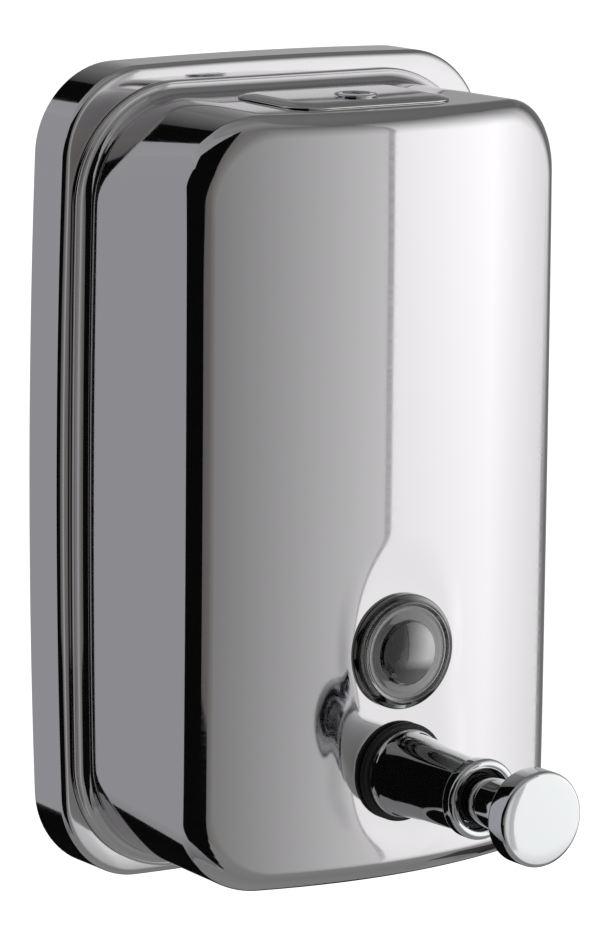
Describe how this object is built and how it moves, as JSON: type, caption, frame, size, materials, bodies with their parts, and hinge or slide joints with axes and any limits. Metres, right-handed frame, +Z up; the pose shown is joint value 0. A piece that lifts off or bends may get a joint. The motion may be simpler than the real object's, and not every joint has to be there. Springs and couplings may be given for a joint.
{
  "type": "wall soap dispenser",
  "caption": "Wall-mounted liquid soap dispenser in polished stainless steel, with a bowed tank on a rear tray, a filler lid, a sight glass and a horizontal push pump.",
  "frame": {"origin": "on the wall, behind the middle of the tray", "axes": "X to the right as seen from the room, +Y into the wall, +Z up; the pump points along -Y"},
  "size_m": [0.1282, 0.1286, 0.205],
  "materials": {
    "polished_steel": "mirror-polished stainless steel",
    "plain_steel": "plain stainless steel",
    "chrome": "bright chrome plating",
    "black_rubber": "matt moulded rubber",
    "clear_acrylic": "clear moulded acrylic",
    "white_acetal": "satin moulded acetal",
    "black_nylon": "satin moulded nylon"
  },
  "bodies": {
    "wall_bracket": {"wall_plate": "plain_steel"},
    "dispenser": {"back_pan": "polished_steel", "tank_shell": "polished_steel", "hanger_upper": "plain_steel", "hanger_lower": "plain_steel", "hinge_bracket": "plain_steel", "hinge_pin": "plain_steel", "sight_lens": "clear_acrylic", "sight_gasket": "black_rubber", "sight_nut": "black_nylon", "barrel_washer": "black_rubber", "pump_barrel": "chrome", "guide_bush": "black_nylon", "tank_washer": "black_rubber", "pump_nut": "plain_steel", "pump_cylinder": "white_acetal", "inlet_cap": "white_acetal", "ball_cage": "white_acetal", "return_spring": "plain_steel"},
    "lid": {"filler_lid": "polished_steel", "lid_gasket": "black_rubber", "lock_housing": "chrome", "lock_nut": "plain_steel"},
    "lock": {"lock_plug": "chrome", "lock_cam": "plain_steel"},
    "plunger": {"push_knob": "chrome", "plunger_stem": "chrome", "piston": "white_acetal", "piston_seal": "black_rubber"},
    "inlet_valve": {"inlet_ball": "plain_steel"},
    "outlet_valve": {"outlet_ball": "plain_steel"}
  },
  "joints": [
    {"name": "lift_off", "type": "slide", "parent": "wall_bracket", "child": "dispenser", "axis": [0, 0, 1], "range_m": [0, 0.015]},
    {"name": "pump_press", "type": "slide", "parent": "dispenser", "child": "plunger", "axis": [0, 1, 0], "range_m": [0, 0.011], "stiffness_N_per_m": 400, "springref_m": -0.01, "deforming": ["return_spring"]},
    {"name": "lid_hinge", "type": "hinge", "parent": "dispenser", "child": "lid", "pos_m": [0, -0.023, 0.09107], "axis": [-1, 0, 0], "range_deg": [0, 75]},
    {"name": "lock_turn", "type": "hinge", "parent": "lid", "child": "lock", "pos_m": [0, -0.048, 0.09068], "axis": [0, -0.0157, 0.9999], "range_deg": [0, 90]},
    {"name": "inlet_ball_lift", "type": "slide", "parent": "dispenser", "child": "inlet_valve", "axis": [0, -1, 0], "range_m": [0, 0.0015]},
    {"name": "outlet_ball_lift", "type": "slide", "parent": "plunger", "child": "outlet_valve", "axis": [0, -1, 0], "range_m": [0, 0.0014]}
  ]
}
